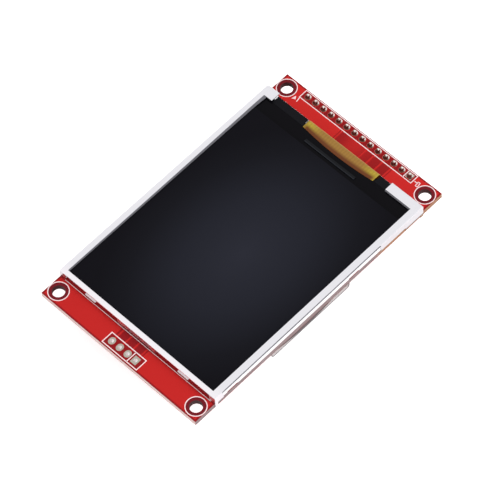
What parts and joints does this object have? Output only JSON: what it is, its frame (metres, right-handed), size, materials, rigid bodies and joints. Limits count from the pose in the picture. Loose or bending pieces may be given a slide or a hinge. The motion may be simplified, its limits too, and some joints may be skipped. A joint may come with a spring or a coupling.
{
  "type": "colour tft display module",
  "caption": "Small colour display panel in a folded steel bezel on a red circuit board, with a pin header and a memory card socket on the back.",
  "frame": {"origin": "middle of the four mounting holes, on the board's back face", "axes": "+Z out of the board's front, the way the screen faces; +Y along the board to the pin header end; +X to the side with the card socket's mouth"},
  "size_m": [0.0506, 0.0822, 0.0127],
  "materials": {
    "board_red": "satin solder mask",
    "tinned_copper": "satin tin",
    "black_plastic": "matt",
    "solder": "bright solder",
    "socket_steel": "satin",
    "gold_plated": "bright plating",
    "black_epoxy": "matt",
    "tan_ceramic": "satin",
    "white_foam": "matt",
    "silver_film": "bright",
    "clear_acrylic": "polished",
    "white_film": "matt",
    "clear_film": "satin",
    "polyimide": "satin",
    "led_package": "satin",
    "white_plastic": "satin",
    "polarizer_film": "satin",
    "panel_glass": "polished",
    "silicon": "polished",
    "black_tape": "matt",
    "bezel_steel": "fine satin"
  },
  "bodies": {
    "root": {"circuit_board": "board_red", "plated_holes": "tinned_copper", "header_housing": "black_plastic", "solder_joints": "solder", "card_socket_base": "black_plastic", "card_socket_shell": "socket_steel", "card_contacts": "gold_plated", "regulator_body": "black_epoxy", "regulator_leads": "tinned_copper", "transistor_body": "black_epoxy", "transistor_leads": "tinned_copper", "chip_resistors": "black_epoxy", "chip_capacitors": "tan_ceramic", "chip_terminals": "tinned_copper", "foam_tape_left": "white_foam", "foam_tape_right": "white_foam", "reflector_sheet": "silver_film", "light_guide": "clear_acrylic", "diffuser_sheet": "white_film", "prism_sheet_lower": "clear_film", "prism_sheet_upper": "clear_film", "led_strip": "polyimide", "backlight_leds": "led_package", "backlight_frame": "white_plastic", "rear_polarizer": "polarizer_film", "rear_glass": "panel_glass", "front_glass": "panel_glass", "front_polarizer": "polarizer_film", "driver_chip": "silicon", "display_flex": "polyimide", "flex_solder": "solder", "shield_tape_left": "black_tape", "shield_tape_right": "black_tape", "metal_bezel": "bezel_steel", "header_pin_1": "gold_plated", "header_pin_2": "gold_plated", "header_pin_3": "gold_plated", "header_pin_4": "gold_plated", "header_pin_5": "gold_plated", "header_pin_6": "gold_plated", "header_pin_7": "gold_plated", "header_pin_8": "gold_plated", "header_pin_9": "gold_plated", "header_pin_10": "gold_plated", "header_pin_11": "gold_plated", "header_pin_12": "gold_plated", "header_pin_13": "gold_plated", "header_pin_14": "gold_plated"}
  },
  "joints": []
}
